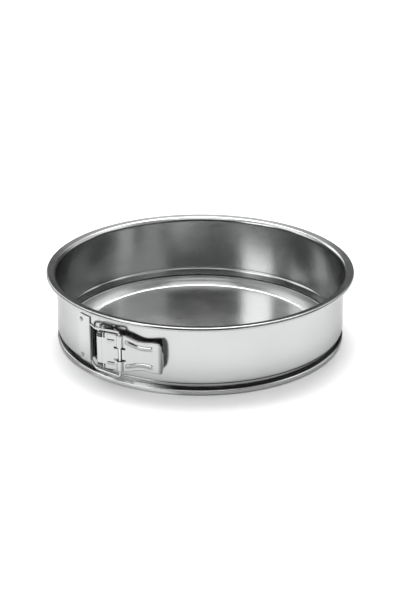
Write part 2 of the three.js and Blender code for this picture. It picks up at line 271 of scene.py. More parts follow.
def new_object(name, vertices, faces):
    mesh = bpy.data.meshes.new(name)
    mesh.from_pydata([tuple(vertex) for vertex in vertices], [], faces)
    mesh.validate()
    piece = bpy.data.objects.new(name, mesh)
    bpy.context.scene.collection.objects.link(piece)
    shade_smooth(mesh)
    return piece


def shade_smooth(mesh):
    """Smooth shading, with sharp edges kept crisp, and faces turned out."""
    body = bmesh.new()
    body.from_mesh(mesh)
    bmesh.ops.remove_doubles(body, verts=body.verts, dist=1e-6)
    bmesh.ops.recalc_face_normals(body, faces=body.faces)
    limit = math.radians(SHARP_ANGLE)
    for face in body.faces:
        face.smooth = True
    for edge in body.edges:
        edge.smooth = len(edge.link_faces) != 2 or edge.calc_face_angle(0) < limit
    body.to_mesh(mesh)
    body.free()


def bake_modifiers(piece):
    """Replaces the piece's mesh with what its modifiers make of it."""
    graph = bpy.context.evaluated_depsgraph_get()
    made = bpy.data.meshes.new_from_object(piece.evaluated_get(graph))
    piece.modifiers.clear()
    piece.data = made
    shade_smooth(made)


def round_edges(piece, width):
    """Bevels the sharp edges, and bakes that and any modifiers from before."""
    bevel = piece.modifiers.new("edge", "BEVEL")
    bevel.width = width * MM
    bevel.segments = 2
    bevel.limit_method = "ANGLE"
    bevel.angle_limit = math.radians(50)
    bake_modifiers(piece)


def thicken(piece, sheet, edge=0.12):
    """Turns a surface into sheet metal of even thickness, with slightly rounded edges."""
    solidify = piece.modifiers.new("sheet", "SOLIDIFY")
    solidify.thickness = sheet * MM
    solidify.offset = 0
    solidify.use_even_offset = True
    round_edges(piece, edge)


def grid_surface(name, rows, kept=lambda i, j: True):
    """Surface over a grid of points, leaving out the cells that are not kept."""
    width = len(rows[0])
    vertices = [point for row in rows for point in row]
    faces = []
    for j in range(len(rows) - 1):
        for i in range(width - 1):
            if kept(i, j):
                corner = j * width + i
                faces.append((corner, corner + 1, corner + width + 1, corner + width))
    used = sorted({index for face in faces for index in face})
    place = {index: k for k, index in enumerate(used)}
    faces = [tuple(place[index] for index in face) for face in faces]
    return new_object(name, [vertices[index] for index in used], faces)


def turned(name, outline, placed, segments):
    """Solid turned from (radius, height) points that start and end on the axis.

    placed gives the point in metres for an x, a y and a height beside that axis.
    """
    ring = [(r, h) for r, h in outline if r > 0]
    low, high = outline[0][1], outline[-1][1]
    vertices = []
    for r, h in ring:
        for k in range(segments):
            turn = 2 * math.pi * k / segments
            vertices.append(placed(r * math.cos(turn), r * math.sin(turn), h))
    faces = []
    for j in range(len(ring) - 1):
        for k in range(segments):
            after = (k + 1) % segments
            lower, upper = j * segments, (j + 1) * segments
            faces.append((lower + k, lower + after, upper + after, upper + k))
    for start, height in ((0, low), ((len(ring) - 1) * segments, high)):
        vertices.append(placed(0, 0, height))
        tip = len(vertices) - 1
        for k in range(segments):
            faces.append((start + k, start + (k + 1) % segments, tip))
    return new_object(name, vertices, faces)


def finish_piece(piece, body, material, slot, *nodes):
    """Gives the piece its material, its body, and the CAD nodes that it replaces. slot is not
    used.
    """
    piece.data.materials.clear()
    piece.data.materials.append(material)
    if body:
        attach(piece, body)
    if nodes:
        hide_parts(*nodes)


# ---- Materials ---------------------------------------------------------------------

class Nodes:
    """A few lines of shorthand for building a node tree."""

    def __init__(self, material):
        self.tree = material.node_tree

    def add(self, kind, **inputs):
        node = self.tree.nodes.new(kind)
        for name, value in inputs.items():
            node.inputs[name].default_value = value
        return node

    def link(self, source, target):
        self.tree.links.new(source, target)

    def noise(self, coordinates, stretch, scale, detail):
        """Noise over coordinates that are stretched along each axis."""
        mapping = self.add("ShaderNodeMapping")
        mapping.inputs["Scale"].default_value = stretch
        self.link(coordinates, mapping.inputs["Vector"])
        noise = self.add("ShaderNodeTexNoise", Scale=scale, Detail=detail, Roughness=0.55)
        self.link(mapping.outputs["Vector"], noise.inputs["Vector"])
        return noise.outputs["Fac"]

    def ranged(self, source, low, high, start=0.3, stop=0.7):
        """The source moved from the range start to stop into the range low to high."""
        node = self.add("ShaderNodeMapRange")
        node.inputs["From Min"].default_value = start
        node.inputs["From Max"].default_value = stop
        node.inputs["To Min"].default_value = low
        node.inputs["To Max"].default_value = high
        self.link(source, node.inputs["Value"])
        return node.outputs["Result"]

    def combined(self, kind, operation, *inputs):
        """A node that works out its operation from sockets and constants."""
        node = self.add(kind)
        node.operation = operation
        for socket, value in zip(node.inputs, inputs):
            if isinstance(value, bpy.types.NodeSocket):
                self.link(value, socket)
            else:
                socket.default_value = value
        return node

    def sum(self, *sources):
        """Sockets added together."""
        total = sources[0]
        for source in sources[1:]:
            total = self.combined("ShaderNodeMath", "ADD", total, source).outputs["Value"]
        return total

    def along(self, place, direction):
        """Distance of the place in a direction."""
        node = self.combined("ShaderNodeVectorMath", "DOT_PRODUCT", place, direction)
        return node.outputs["Value"]

    def mixed(self, factor, first, second, blend_type="MIX"):
        """Two colours mixed by a socket. Each colour is a socket or a constant."""
        node = self.add("ShaderNodeMix")
        node.data_type = "RGBA"
        node.blend_type = blend_type
        self.link(factor, node.inputs["Factor"])
        for name, color in (("A", first), ("B", second)):
            if isinstance(color, bpy.types.NodeSocket):
                self.link(color, node.inputs[name])
            else:
                node.inputs[name].default_value = color
        return node.outputs["Result"]

    def painted_groove_shade(self, color, place, middle, half):
        """The colour, painted dark as shade round the outside of the groove, but left unshaded
        under the latch.
        """
        level = self.combined("ShaderNodeVectorMath", "MULTIPLY", place, (1, 1, 0))
        radius = self.combined("ShaderNodeVectorMath", "LENGTH", level.outputs["Vector"])
        sheet_middle = (GROOVE_WAIST + 0.35) * MM
        inside = self.ranged(radius.outputs["Value"], 1, 0, sheet_middle, sheet_middle + 1e-5)
        sector = [math.cos(math.radians(half_angle)) * GROOVE_WAIST * MM
                  for half_angle in HIGHLIGHT_HALF_ANGLES]
        towards = self.along(place, around(1, HIGHLIGHT_ANGLE, 0) / MM)
        unshaded = self.ranged(towards, 0, 1, *sector)
        height = self.along(place, (0, 0, 1))
        offset = self.combined("ShaderNodeMath", "SUBTRACT", height, middle * MM)
        distance = self.combined("ShaderNodeMath", "ABSOLUTE", offset.outputs["Value"])
        limits = (half * MM, (half + GROOVE_SHADE_EDGE) * MM)
        beyond = self.ranged(distance.outputs["Value"], 0, 1, *limits)
        return self.mixed(self.sum(beyond, inside, unshaded), GROOVE_SHADE_COLOR, color)

    def painted_tone(self, color, place, direction, start, stop, tone):
        """Painted shade or highlight: the colour, darker or lighter by a factor beyond a
        distance in a direction.
        """
        share = self.ranged(self.along(place, direction), 0, 1, start * MM, stop * MM)
        return self.mixed(share, color, (tone, tone, tone, 1), "MULTIPLY")


def steel(name, color, roughness, grain, ripple=0.0, ripple_stretch=(1, 1, 1), wear=0.05,
          groove_shade=None, painted_tones=(), edge_tint=1.0):
    """Sheet steel: fine grain along one way, hazy patches of handling, and slow ripples.

    grain is how much the coordinates are stretched along each axis, so the lines run
    along the axis with the smallest number. ripple is the height of the slow waves, and
    wear is how much the roughness differs between patches. The groove's painted shade is
    given as a middle height and half a height, in millimetres, where the groove round the
    outside is painted dark for the shade in its crevice. The painted tones list stretches of
    painted shade or painted highlight: a direction, the distances in millimetres where the
    stretch starts and is full, and the factor on the colour. edge_tint is how bright the
    steel stays where it is seen at a glancing angle.
    """
    material = bpy.data.materials.new(name)
    material.use_nodes = True
    nodes = Nodes(material)
    shader = nodes.tree.nodes["Principled BSDF"]
    shader.inputs["Metallic"].default_value = 1.0
    shader.inputs["Specular Tint"].default_value = (edge_tint, edge_tint, edge_tint, 1)
    place = nodes.add("ShaderNodeTexCoord").outputs["Object"]

    lines = nodes.noise(place, grain, 1.0, detail=5)
    haze = nodes.noise(place, (1, 1, 1), HAZE_SCALE, detail=6)
    specks = nodes.noise(place, (1, 1, 1), SPECK_SCALE, detail=2)

    hazy = [channel * HAZE_SHADE for channel in color]
    surface = nodes.mixed(nodes.ranged(haze, 0, 1), (*hazy, 1), (*color, 1))
    # Painted shade in the groove's crevice, then the painted shade and highlights listed.
    if groove_shade:
        surface = nodes.painted_groove_shade(surface, place, *groove_shade)
    for stretch in painted_tones:
        surface = nodes.painted_tone(surface, place, *stretch)
    nodes.link(surface, shader.inputs["Base Color"])

    worn = nodes.ranged(haze, roughness - wear / 2, roughness + wear / 2)
    rough = nodes.sum(worn, nodes.ranged(lines, -GRAIN_ROUGHNESS, GRAIN_ROUGHNESS))
    nodes.link(rough, shader.inputs["Roughness"])

    fine = nodes.add("ShaderNodeBump", Strength=0.08, Distance=GRAIN_DEPTH)
    nodes.link(nodes.sum(lines, specks), fine.inputs["Height"])
    if ripple:
        wave = nodes.add("ShaderNodeBump", Strength=1.0, Distance=ripple)
        nodes.link(nodes.noise(place, ripple_stretch, 1.0, detail=1), wave.inputs["Height"])
        nodes.link(wave.outputs["Normal"], fine.inputs["Normal"])
    nodes.link(fine.outputs["Normal"], shader.inputs["Normal"])
    return material


# Painted shade and painted highlights: direction, distances where each starts and is full, and
# factor on the colour.
TAIL_PAINTED_SHADE = (latch_right(), 19.2, 22.2, 0.52)           # painted shade on the curled tail, for the dimmer reflection it shows
RECESS_PAINTED_SHADE = (-latch_out(), -135.2, -134.6, 0.15)      # painted shade, behind the lever's own face
HOOK_PAINTED_SHADE = (latch_right(), -50.7, -50.1, 0.12)         # painted shade on the hook's turned-out wall, in the shadowed gap by the wire
LEG_PAINTED_SHADE = (-latch_right(), 47.5, 47.9, 0.25)           # painted shade on the wire's leg in the hook, between hook and lever
FOOT_PAINTED_HIGHLIGHT = (around(1, HIGHLIGHT_ANGLE, -0.8) / MM, 121.3, 125, 1.9)    # painted highlight on the groove and bead under the latch, low down

band_steel = steel("band_steel", (0.475, 0.48, 0.48), 0.2, (90, 90, 1800),
                   ripple=0.00003, ripple_stretch=(22, 22, 6), groove_shade=(5.3, 0.35),
                   painted_tones=[FOOT_PAINTED_HIGHLIGHT], edge_tint=0.62)
base_steel = steel("base_steel", (0.7, 0.705, 0.705), 0.2, (60, 1200, 60),
                   ripple=0.00004, ripple_stretch=(10, 10, 10))
latch_steel = steel("latch_steel", (0.47, 0.475, 0.475), 0.16, (1500, 1500, 60), wear=0.08,
                    painted_tones=[HOOK_PAINTED_SHADE])
# The bracket's near-black colour is painted shade: the shadow and dark reflections behind the
# lever.
bracket_painted_shade_steel = steel("bracket_painted_shade_steel", (0.1, 0.101, 0.103), 0.2, (1500, 1500, 60), wear=0.1)
lever_steel = steel("lever_steel", (0.45, 0.455, 0.455), 0.16, (1500, 1500, 60), wear=0.08,
                    painted_tones=[TAIL_PAINTED_SHADE, RECESS_PAINTED_SHADE])
rivet_steel = steel("rivet_steel", (0.36, 0.365, 0.37), 0.14, (900, 900, 900), wear=0.1)
wire_steel = steel("wire_steel", (0.56, 0.565, 0.57), 0.14, (1200, 1200, 80), wear=0.06,
                   painted_tones=[LEG_PAINTED_SHADE])


# ---- Pan base ----------------------------------------------------------------------

def base_outline():
    """Half section of the base, from the middle of the underside to the middle of the top."""
    steep = 24                  # degrees that the border climbs beside the step
    gentle = 3                  # and where it levels out to the rim
    radius = 28                 # of the border's own curve
    toe = 109.2                 # where the border starts
    rise_centre = toe + radius * math.sin(math.radians(steep))
    foot = BASE_SHEET + 0.35
    crown = foot + radius * (1 - math.cos(math.radians(steep)))
    border = arc(rise_centre, crown - radius, radius, 90 + steep, 90 + gentle, 14)
    shoulder = border[-1]
    # The rim's roll, as (distance from its edge, rise).
    rim = [(3.2, -0.1), (2.4, 0.15), (1.6, 0.6), (1, 0.8), (0.4, 0.6), (0, 0)]
    top = [
        (BASE_STEP - 1.2, BASE_SHEET),
        (BASE_STEP - 0.4, BASE_SHEET + 0.01),
        (BASE_STEP, BASE_SHEET + 0.05),
        (toe - 0.3, foot - 0.14),
        *border,
        *[(BASE_RADIUS - inset, BASE_RIM_TOP + rise) for inset, rise in rim],
    ]
    underside = [
        (BASE_RADIUS, BASE_RIM_TOP - BASE_SHEET + 0.2),
        (BASE_RADIUS - 0.2, BASE_RIM_TOP - BASE_SHEET),
        (shoulder[0] + 4.5, BASE_RIM_TOP - BASE_SHEET),
        *[(r, z - BASE_SHEET) for r, z in reversed(border) if z - BASE_SHEET > 0.5],
        (toe + 0.7, 0.2),
        (BASE_STEP, 0.02),
        (BASE_STEP - 1.2, 0),
    ]
    inner_rings = [20, 50, 80]
    bottom = [(r, 0) for r in inner_rings]
    ceiling = [(r, BASE_SHEET) for r in reversed(inner_rings)]
    return [(0, 0), *bottom, *reversed(underside), *reversed(top), *ceiling, (0, BASE_SHEET)]


def make_base():
    """Pressed disc with a stepped border and a rim that is slightly rolled up."""
    def placed(x, y, height):
        return Vector((x, y, height)) * MM

    piece = turned("pan_base_disc", base_outline(), placed, segments=240)
    finish_piece(piece, "base", base_steel, "base_steel", "pan_base")


# ---- Band --------------------------------------------------------------------------

def band_path():
    """Middle of the band's sheet, from the rolled edge of the lip down to the foot."""
    wall = BAND_RADIUS + BAND_SHEET / 2
    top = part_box("band_left")[1][2] / MM - BAND_SHEET / 2
    outer = LIP_RADIUS - BAND_SHEET / 2
    roll = lip_roll(outer, top)
    inner_x = wall + LIP_FILLET
    inner_z = roll[-1][1] - (roll[-1][0] - inner_x) * math.tan(math.radians(LIP_SLOPE))
    fillet = []
    for turn in spread(math.radians(90 - LIP_SLOPE), 0, 14):
        fillet.append((inner_x - LIP_FILLET * math.cos(turn),
                       inner_z - LIP_TURN_HEIGHT * (1 - math.sin(turn))))
    foot = rounded([
        (wall, WALL_BOTTOM + 8, 0),
        (wall, WALL_BOTTOM + 0.9, 0.9),
        (wall - 1.2, WALL_BOTTOM - 0.9, 0.8),       # the wall turns in
        (GROOVE_WAIST + 0.45, 5.5, 0.6),            # the groove
        (BEAD_RADIUS - 0.35, 4.15, 0.45),           # the bead: out, down and in again
        (BEAD_RADIUS + 0.05, 3.6, 0.5),
        (BEAD_RADIUS - 0.25, 0.75, 0.6),
        (BEAD_RADIUS - 1.25, 0.62, 0),
    ], steps=5)
    return [*roll, *fillet, *foot]


def lip_roll(outer, top):
    """Rolled edge of the lip: a slightly flattened curl, from its free end to its crown."""
    # Each turn: the angles that it starts and stops at, its radius and its steps.
    turns = [(-LIP_SLOPE, 62, 0.8, 8), (62, 79, 4.2, 6), (79, 215, 0.8, 12)]
    path = [(0.0, 0.0)]
    for start, stop, radius, steps in turns:
        angles = [math.radians(angle) for angle in spread(start, stop, steps)]
        for before, after in zip(angles, angles[1:]):
            x, z = path[-1]
            path.append((x + radius * (math.sin(after) - math.sin(before)),
                         z - radius * (math.cos(before) - math.cos(after))))
    right = max(x for x, z in path)
    crown = max(z for x, z in path)
    return [(outer - right + x, top - crown + z) for x, z in reversed(path)]


def path_normals(path):
    """Unit normal at each point of a path, to the left of the way that it runs."""
    normals = []
    for i, point in enumerate(path):
        before, after = path[max(i - 1, 0)], path[min(i + 1, len(path) - 1)]
        dx, dy = after[0] - before[0], after[1] - before[1]
        length = math.hypot(dx, dy)
        normals.append((-dy / length, dx / length))
    return normals


def sheet_ring(name, path, sheet, angles, shift=lambda angle: 0):
    """Sheet of even thickness that follows a (radius, height) path round the pan.

    The normals are worked out from the path, so neighbouring rings meet with no seam.
    """
    normals = path_normals(path)
    count = len(path)
    vertices, directions = [], []
    for angle in angles:
        for side in (1, -1):
            for (r, z), (nr, nz) in zip(path, normals):
                offset = side * sheet / 2
                radius = r + nr * offset + shift(angle)
                vertices.append(around(radius, angle, z + nz * offset))
                directions.append(around(side * nr, angle, side * nz) / MM)
    stride = 2 * count
    faces = []
    for j in range(len(angles) - 1):
        here, beyond = j * stride, (j + 1) * stride
        for i in range(count - 1):
            faces.append((here + i, beyond + i, beyond + i + 1, here + i + 1))
            near, far = here + count + i, beyond + count + i
            faces.append((near, near + 1, far + 1, far))
    smooth_faces = len(faces)
    last = count - 1
    for j in range(len(angles) - 1):
        here, beyond = j * stride, (j + 1) * stride
        faces.append((here, here + count, beyond + count, beyond))
        faces.append((here + last, beyond + last, beyond + count + last, here + count + last))
    for start in (0, (len(angles) - 1) * stride):
        for i in range(count - 1):
            cap = (start + i, start + count + i, start + count + i + 1, start + i + 1)
            faces.append(cap if start else cap[::-1])
    mesh = bpy.data.meshes.new(name)
    mesh.from_pydata([tuple(vertex) for vertex in vertices], [], faces)
    for polygon in mesh.polygons:
        polygon.use_smooth = True
    mesh.update()
    loop_normals = []
    for polygon in mesh.polygons:
        crisp = polygon.index >= smooth_faces
        for vertex in polygon.vertices:
            loop_normals.append(tuple(polygon.normal if crisp else directions[vertex]))
    mesh.normals_split_custom_set(loop_normals)
    piece = bpy.data.objects.new(name, mesh)
    bpy.context.scene.collection.objects.link(piece)
    return piece


def make_band():
    """One strip: a stiff stretch on each side and one at the back."""
    path = band_path()
    back = SEAM_ANGLE + 180
    edge = math.degrees(GAP / 2 / BAND_RADIUS)
    left_end = SEAM_ANGLE + edge
    right_end = SEAM_ANGLE - edge + 360
    flex_start, flex_stop = back - FLEX_HALF_ANGLE, back + FLEX_HALF_ANGLE
    stretches = {
        "band_left_side": (left_end, flex_start),
        "band_back": (flex_start, flex_stop),
        "band_right_side": (flex_stop, right_end),
    }
    pieces = {}
    for name, (start, stop) in stretches.items():
        angles = spread(start, stop, round(stop - start))
        pieces[name] = sheet_ring(name, path, BAND_SHEET, angles)
    finish_piece(pieces["band_left_side"], "ring_left", band_steel, "band_steel", "band_left")
    finish_piece(pieces["band_right_side"], "ring_right", band_steel, "band_steel", "band_right")
    finish_piece(pieces["band_back"], None, band_steel, "band_steel")
    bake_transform(pieces["band_back"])


def make_tongue():
    """The left end steps in and reaches a little way inside the right end."""
    wall = BAND_RADIUS + BAND_SHEET / 2
    step = BAND_SHEET + GAP
    low, high = WALL_BOTTOM + 2, WALL_TOP - 2
    path = [(wall, z) for z in spread(high, low, 12)]
    angles = spread(TONGUE_END, SEAM_ANGLE + 3.2, 16)
    sunk = 0.02                 # how far its root stays behind the wall's own surface

    def shift(angle):
        """Inwards by a whole step under the seam, and back to the wall beside it."""
        return -step + (step - sunk) * smooth((angle - SEAM_ANGLE - 0.7) / 2.4)

    piece = sheet_ring("band_left_tongue", path, BAND_SHEET, angles, shift)
    finish_piece(piece, "ring_left", band_steel, "band_steel")


# ---- Pieces riveted to the band ----------------------------------------------------

def corner_cut(distance, radius):
    """How far a rounded corner pulls an edge in, at a distance from the end."""
    if distance >= radius:
        return 0
    return radius - math.sqrt(radius ** 2 - (radius - distance) ** 2)


def make_hook_plate():
    """Plate bent to the band; its middle reaches on and turns out as the hook."""
    radius = PLATE_RADIUS
    per_degree = math.radians(1) * radius
    turn_radius = 0.9
    turn_start = HOOK_ANGLE + turn_radius / per_degree
    flat_steps = 24
    flat = [around(radius, angle, 0) / MM
            for angle in spread(HOOK_START, HOOK_EDGE, flat_steps)]
    reach = [around(radius, angle, 0) / MM for angle in spread(HOOK_EDGE, turn_start, 5)[1:]]
    out = around(1, HOOK_ANGLE, 0) / MM
    right = around(1, HOOK_ANGLE - 90, 0) / MM
    centre = around(radius + turn_radius, turn_start, 0) / MM
    bend = [
        centre + right * turn_radius * math.sin(turn) - out * turn_radius * math.cos(turn)
        for turn in (math.radians(angle) for angle in spread(15, 90, 5))
    ]
    rise = HOOK_TOP - radius - turn_radius
    wall = [bend[-1] + out * rise * t for t in spread(0, 1, 4)[1:]]
    plan = [*flat, *reach, *bend, *wall]
    low = HOOK_HEIGHT - HOOK_HALF_HEIGHT
    high = HOOK_HEIGHT + HOOK_HALF_HEIGHT
    corner = 4
    lower_rows, middle_rows = 6, 14
    rows = [[] for _ in range(2 * lower_rows + middle_rows + 1)]
    for i, place in enumerate(plan):
        distance = (HOOK_START - HOOK_EDGE) * per_degree * min(i, flat_steps) / flat_steps
        pulled = corner_cut(distance, corner)
        heights = [
            *spread(PLATE_BOTTOM + pulled, low, lower_rows),
            *spread(low, high, middle_rows)[1:],
            *spread(high, HOOK_PLATE_TOP - pulled, lower_rows)[1:],
        ]
        for row, height in zip(rows, heights):
            row.append(Vector((place[0], place[1], height)) * MM)

    def kept(i, j):
        return i < len(flat) - 1 or lower_rows <= j < lower_rows + middle_rows

    piece = grid_surface("hook_plate_stamping", rows, kept)
    thicken(piece, PLATE_SHEET)
    finish_piece(piece, "ring_left", latch_steel, "latch_steel", "hook_plate")


def block(name, outline, low, high):
    """Slab over an outline in the latch drawing, between two heights, with rounded edges."""
    count = len(outline)
    vertices = [latch_point(x, y, height) for height in (low, high) for x, y in outline]
    faces = [tuple(range(count)), tuple(range(2 * count - 1, count - 1, -1))]
    for i in range(count):
        after = (i + 1) % count
        faces.append((i, after, count + after, count + i))
    piece = new_object(name, vertices, faces)
    round_edges(piece, 0.15)
    return piece


def joined(name, pieces):
    """One object from several, which lose their own."""
    body = bmesh.new()
    for piece in pieces:
        body.from_mesh(piece.data)
    mesh = bpy.data.meshes.new(name)
    body.to_mesh(mesh)
    body.free()
    for piece in pieces:
        bpy.data.objects.remove(piece)
    result = bpy.data.objects.new(name, mesh)
    bpy.context.scene.collection.objects.link(result)
    return result


def make_bracket():
    """Plate bent to the band, and two ears that hold the fulcrum pin."""
    radius = PLATE_RADIUS
    per_degree = math.radians(1) * radius
    left_corner, right_corner = 4.5, 1.5
    steps = 24
    rows = [[] for _ in range(steps + 1)]
    for angle in spread(BRACKET_START, BRACKET_END, steps):
        pulled = corner_cut((BRACKET_START - angle) * per_degree, left_corner)
        pulled += corner_cut((angle - BRACKET_END) * per_degree, right_corner)
        heights = spread(PLATE_BOTTOM + pulled, BRACKET_TOP - pulled, steps)
        for row, height in zip(rows, heights):
            row.append(around(radius, angle, height))
    plate = grid_surface("bracket_plate", rows)
    thicken(plate, PLATE_SHEET)

    left, right = FULCRUM[0] - BARREL_RADIUS, FULCRUM[0] + BARREL_RADIUS
    foot = [(x, math.sqrt((radius + 0.1) ** 2 - x * x)) for x in (left, right)]
    tip = arc(*FULCRUM, BARREL_RADIUS, 0, 180, 16)
    outline = [*foot, *tip]
    ears = [
        block("bracket_ear", outline, LATCH_HEIGHT + low, LATCH_HEIGHT + low + EAR_HEIGHT)
        for low in (EAR_START, -EAR_START - EAR_HEIGHT)
    ]
    piece = joined("fulcrum_bracket_stamping", [plate, *ears])
    finish_piece(piece, "ring_right", bracket_painted_shade_steel, "latch_steel", "fulcrum_bracket")


def make_rivets():
    """Each has a domed head on both sides. Its outline is drawn out from the pan's axis."""
    face = PLATE_RADIUS + PLATE_SHEET / 2
    inside = BAND_RADIUS
    head = dome(RIVET_HEAD, RIVET_HEAD_HEIGHT)
    outline = [
        *[(r, inside - h) for r, h in reversed(head)],
        (RIVET_HEAD, inside),
        (RIVET_SHANK, inside + 0.01),
        (RIVET_SHANK, face),
        (RIVET_HEAD, face + 0.01),
        *[(r, face + h) for r, h in head],
    ]
    outline = [(0, outline[0][1]), *outline[1:-1], (0, outline[-1][1])]
    for node, (angle, height, body) in RIVETS.items():
        out = around(1, angle, 0) / MM
        across = around(1, angle + 90, 0) / MM

        def placed(x, y, h):
            return (out * h + across * x + Vector((0, 0, height + y))) * MM

        piece = turned(node + "_domed", outline, placed, segments=32)
        finish_piece(piece, body, rivet_steel, "rivet_steel", node)


# ---- Latch -------------------------------------------------------------------------

def make_pin():
    """Pin with a domed head beyond each ear."""
    end = EAR_START + EAR_HEIGHT + GAP
    head = dome(PIN_HEAD, 1)[1:]
    upper = [(PIN_RADIUS, end - 0.01), (PIN_HEAD, end), *[(r, end + h) for r, h in head]]
    lower = [(r, -h) for r, h in reversed(upper)]
    outline = [(0, lower[0][1]), *lower[1:], *upper[:-1], (0, upper[-1][1])]

    def placed(x, y, height):
        return latch_point(FULCRUM[0] + x, FULCRUM[1] + y, LATCH_HEIGHT + height)

    piece = turned("fulcrum_pin_domed", outline, placed, segments=32)
    finish_piece(piece, "ring_right", rivet_steel, "rivet_steel", "fulcrum_pin")


def lever_half_height(x):
    """The lever is tallest at the barrel, has a waist, and widens again to its tail."""
    waist = 12.9
    barrel_flare = 3.5
    tail_flare = 0.8
    return waist + barrel_flare * smooth((5 - x) / 17) + tail_flare * smooth((x - 8) / 9)


def lever_flange(x):
    """Length of the edge that is turned in towards the band."""
    stub = 0.25
    full = 3.9
    start, stop = -30, -18.3
    return stub + (full - stub) * smooth((x - start) / 0.4) * smooth((stop - x) / 0.6)


def swelling(distance, height, width):
    """Height of a smooth swelling, at a distance from its middle line."""
    return height * math.exp(-(distance / width) ** 2)


def rib_share(x, start, stop):
    """1 along a rib and 0 past its ends, with smooth ends."""
    return smooth((x - start) / RIB_RUN_OUT) * smooth((stop - x) / RIB_RUN_OUT)


def lever_relief(x, height):
    """How far the sheet is pressed out at a place on the lever, or in where it is negative.

    Above and below the slits it is raised into knuckles that hold the wire, with a crease
    on each side of them. Between the slits it is a strap that runs behind the wire.
    """
    beside = abs(x - LEVER_PIVOT[0])
    if SLIT_HEIGHTS[0] <= height <= SLIT_HEIGHTS[1]:
        turn = math.pi * clamp(beside / STRAP_HALF_WIDTH)
        hold = -STRAP_DEPTH * 0.5 * (1 + math.cos(turn))
    else:
        share = clamp(beside / KNUCKLE_HALF_WIDTH)
        hold = KNUCKLE_HEIGHT * math.sqrt(1 - share ** 2.4)
        hold += swelling(beside - 2.9, -0.45, CREASE_WIDTH)
    off_rib = abs(height) - (lever_half_height(x) - RIB_INSET)
    rib = swelling(off_rib, RIB_HEIGHT, RIB_WIDTH) * rib_share(x, *RIB_ENDS)
    off_short_rib = abs(height) - SHORT_RIB_LEVEL
    short_rib = swelling(off_short_rib, SHORT_RIB_HEIGHT, SHORT_RIB_WIDTH)
    short_rib *= rib_share(x, *SHORT_RIB_ENDS)
    barrel_crease = swelling(x - LEVER_LEFT + 1.2, -0.4, CREASE_WIDTH)
    return hold + rib + short_rib + barrel_crease


def lever_tail_end(height):
    """Where a row of the lever ends: the corners of the tail are rounded."""
    share = clamp(abs(height) / lever_half_height(TAIL_END))
    return TAIL_END - TAIL_CORNER * (1 - (1 - share ** 2.2) ** 0.45)


def lever_place(x, rise, height):
    """Point of the lever from its flat pattern: the tail is curled outwards."""
    climb = max(0, x - LEVER_PIVOT[0]) * LEVER_RISE
    if x > TAIL_START:
        turn = (x - TAIL_START) / TAIL_RADIUS
        reach = TAIL_RADIUS - rise
        x = TAIL_START + reach * math.sin(turn)
        rise = TAIL_RADIUS - reach * math.cos(turn)
    return latch_point(x, LEVER_PLANE + rise, LATCH_HEIGHT + height + climb)


def lever_steps(stops):
    """Small even steps from each stop to the next."""
    values = [stops[0]]
    for start, stop in zip(stops, stops[1:]):
        steps = max(2, round((stop - start) / LEVER_STEP))
        values += spread(start, stop, steps)[1:]
    return values


def lever_rows():
    """Rows across the lever: (kind, side, value).

    A core row has a fixed height. An edge row has a share: 0 to 1 on the flat, 1 to 2
    round the bend, and 2 to 3 along the turned-in edge.
    """
    half = SLIT_WIDTH / 2
    stops = [-BARREL_HALF_HEIGHT, SLIT_HEIGHTS[0] - half, SLIT_HEIGHTS[0] + half,
             SLIT_HEIGHTS[1] - half, SLIT_HEIGHTS[1] + half, BARREL_HALF_HEIGHT]
    edge = spread(0, 3, 21)[1:]
    return [
        *[("edge", -1, share) for share in reversed(edge)],
        *[("core", 0, height) for height in lever_steps(stops)],
        *[("edge", 1, share) for share in edge],
    ]


def lever_row_point(x, kind, side, value):
    """Height of a row at x, and how far it stands out there: the edges are turned in."""
    if kind == "core":
        return value, 0
    half = lever_half_height(x)
    flat = half - LEVER_BEND
    if value <= 1:
        return side * (BARREL_HALF_HEIGHT + (flat - BARREL_HALF_HEIGHT) * value), 0
    if value <= 2:
        turn = math.radians(90) * (value - 1)
        height = flat + LEVER_BEND * math.sin(turn)
        return side * height, -LEVER_BEND * (1 - math.cos(turn))
    return side * half, -LEVER_BEND - lever_flange(x) * (value - 2)


def make_lever():
    """One sheet: rolled into the barrel, flat along the latch, and curled at the tail."""
    barrel_steps = 30
    barrel_wrap = 300
    middle = BARREL_RADIUS - PLATE_SHEET / 2
    barrel = arc(*FULCRUM, middle, 90 + barrel_wrap, 90, barrel_steps)[:-1]
    slit_edges = [LEVER_PIVOT[0] - SLIT_HALF_LENGTH, LEVER_PIVOT[0] + SLIT_HALF_LENGTH]
    straight_end = 14
    tail_steps = 26
    columns = lever_steps([FULCRUM[0], LEVER_LEFT, *RELIEF_SLOT, *slit_edges, straight_end])
    first_full = barrel_steps + columns.index(LEVER_LEFT)
    drawn = lever_rows()
    rows = []
    for kind, side, value in drawn:
        barrel_height = value if kind == "core" else 0      # edge rows start past the barrel
        row = [latch_point(x, y, LATCH_HEIGHT + barrel_height) for x, y in barrel]
        end = lever_tail_end(lever_row_point(TAIL_END, kind, side, value)[0])
        for x in columns + spread(straight_end, end, tail_steps)[1:]:
            height, fold = lever_row_point(x, kind, side, value)
            row.append(lever_place(x, fold + lever_relief(x, height), height))
        rows.append(row)

    def kept(i, j):
        """False beside the barrel, in the relief slots and in the slits."""
        edge_row = drawn[j][0] == "edge" or drawn[j + 1][0] == "edge"
        if edge_row and i < first_full:
            return False
        k = i - barrel_steps
        if k < 0 or k >= len(columns) - 1:
            return True
        x = (columns[k] + columns[k + 1]) / 2
        if edge_row:
            return not RELIEF_SLOT[0] < x < RELIEF_SLOT[1]
        height = (drawn[j][2] + drawn[j + 1][2]) / 2
        in_slit = any(abs(height - slit) < SLIT_WIDTH / 2 for slit in SLIT_HEIGHTS)
        return not (in_slit and slit_edges[0] < x < slit_edges[1])

    piece = grid_surface("lever_stamping", rows, kept)
    thicken(piece, PLATE_SHEET, edge=0.15)
    finish_piece(piece, "lever", lever_steel, "latch_steel", "lever")


